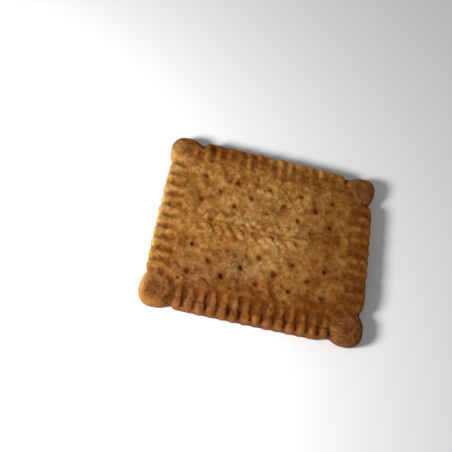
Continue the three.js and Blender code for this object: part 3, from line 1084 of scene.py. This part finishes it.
def underside_material(colour_group, height_group):
    """The flat underside, baked on a band: even, brown and slightly pitted."""
    material, tree, shader = new_material("baked underside")
    vector = node(tree, "ShaderNodeTexCoord").outputs["Object"]
    colour = group_node(tree, colour_group, Vector=vector, Bake=UNDERSIDE_BAKE, Mottling=0.8)
    height = group_node(tree, height_group, Vector=vector, Size=0.7)
    feed(
        tree, shader, Base_Color=colour, Normal=bumps(tree, height, 0.8, 0.1 * MM), Roughness=0.75,
        Specular_IOR_Level=0.3,
    )
    return material


def floor_material(colour):
    """Matt pale board."""
    material, tree, shader = new_material("pale floor")
    vector = node(tree, "ShaderNodeTexCoord").outputs["Object"]
    height = noise(tree, vector, 0.8 * MM)
    feed(
        tree, shader, Base_Color=rgba(colour), Normal=bumps(tree, height, 0.1, 0.02 * MM), Roughness=0.9,
        Specular_IOR_Level=0.2,
    )
    return material


# ---- operators ----


class BISCUIT_OT_model(bpy.types.Operator):
    """Model the baked biscuit and give it its crust"""

    bl_idname = "biscuit.model"
    bl_label = "Model biscuit"

    def execute(self, context):
        shape = context.scene.biscuit_shape
        crust = context.scene.biscuit_crust
        dough = [slab(shape), field(shape)]
        dough += [groove_bed(shape, name) for name in SIDES]
        put_down()
        for corner in EARS:
            dough += ear(shape, corner)
        dough += ribs(shape)
        piece = join(dough, PIECE)
        bake_shape(piece, shape)
        for name, (passes, _, _) in SHADED_HOLLOWS.items():
            store(piece, name, hollows(piece, passes))
        store(piece, "tone", browning_and_painted_light(piece, shape))
        store(piece, "dust", dusting(piece, shape))
        apply_modifier(piece, "DECIMATE", ratio=KEPT_TRIANGLES)
        fit_to_size(piece, shape)
        colour_group = oven_colour_group(crust)
        height_group = crumb_group()
        piece.data.materials.clear()
        piece.data.materials.append(crust_material(crust, colour_group, height_group))
        piece.data.materials.append(underside_material(colour_group, height_group))
        for face in piece.data.polygons:
            face.material_index = int(face.normal.z < -FACING and face.center.z < UNDERSIDE_BELOW)
        take_up(piece)
        bpy.ops.object.shade_smooth()
        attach(piece, "root")
        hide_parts("biscuit")
        put_down()
        return {"FINISHED"}


class BISCUIT_OT_stage(bpy.types.Operator):
    """Set the floor, the light and the camera"""

    bl_idname = "biscuit.stage"
    bl_label = "Set stage"

    def execute(self, context):
        stage = context.scene.biscuit_stage
        put_down()
        bpy.ops.mesh.primitive_plane_add(size=FLOOR_SIZE, location=(0, 0, 0))
        floor = context.object
        floor.name = "floor"
        floor.data.materials.append(floor_material(stage.floor))
        world = bpy.data.worlds.new("studio")
        context.scene.world = world
        world.use_nodes = True
        sky = world.node_tree.nodes["Background"]
        feed(world.node_tree, sky, Color=(1, 1, 1, 1), Strength=stage.sky)
        bpy.ops.object.light_add(type="AREA", location=LIGHT_PLACE)
        key = context.object
        key.name = "window_light"
        key.data.shape = "DISK"
        key.data.size = LIGHT_SIZE
        key.data.energy = stage.key_power
        key.rotation_mode = "QUATERNION"
        key.rotation_quaternion = (LIGHT_PLACE - LIGHT_AIM).to_track_quat("Z", "Y")
        self.camera(context, stage)
        context.scene.view_settings.view_transform = "Standard"
        put_down()
        return {"FINISHED"}

    def camera(self, context, stage):
        """Puts the camera at the photograph's viewing angle."""
        bpy.ops.object.camera_add(location=CAMERA_PLACE)
        camera = context.object
        camera.name = "camera"
        camera.data.lens = stage.lens
        camera.data.sensor_width = SENSOR_WIDTH
        camera.data.clip_start = CLOSEST
        camera.data.clip_end = FURTHEST
        camera.rotation_mode = "QUATERNION"
        turn = (CAMERA_AIM - CAMERA_PLACE).to_track_quat("-Z", "Y")
        camera.rotation_quaternion = turn @ Quaternion((0, 0, 1), CAMERA_ROLL)
        context.scene.camera = camera


class BISCUIT_PT_panel(bpy.types.Panel):
    """The biscuit's settings and steps"""

    bl_label = "Petit beurre biscuit"
    bl_space_type = "VIEW_3D"
    bl_region_type = "UI"
    bl_category = "Biscuit"

    def draw(self, context):
        scene = context.scene
        for settings, operator in (
            (scene.biscuit_shape, BISCUIT_OT_model),
            (scene.biscuit_crust, None),
            (scene.biscuit_stage, BISCUIT_OT_stage),
        ):
            box = self.layout.box()
            for key in settings.__annotations__:
                box.prop(settings, key)
            if operator:
                box.operator(operator.bl_idname)


SETTINGS = {"biscuit_shape": BiscuitShape, "biscuit_crust": BiscuitCrust, "biscuit_stage": BiscuitStage}
CLASSES = (*SETTINGS.values(), BISCUIT_OT_model, BISCUIT_OT_stage, BISCUIT_PT_panel)


def register():
    for cls in CLASSES:
        bpy.utils.register_class(cls)
    for name, cls in SETTINGS.items():
        setattr(bpy.types.Scene, name, bpy.props.PointerProperty(type=cls))


def unregister():
    for name in SETTINGS:
        delattr(bpy.types.Scene, name)
    for cls in reversed(CLASSES):
        bpy.utils.unregister_class(cls)


def main():
    register()
    bpy.ops.biscuit.model()
    bpy.ops.biscuit.stage()


if __name__ == "__main__":
    main()
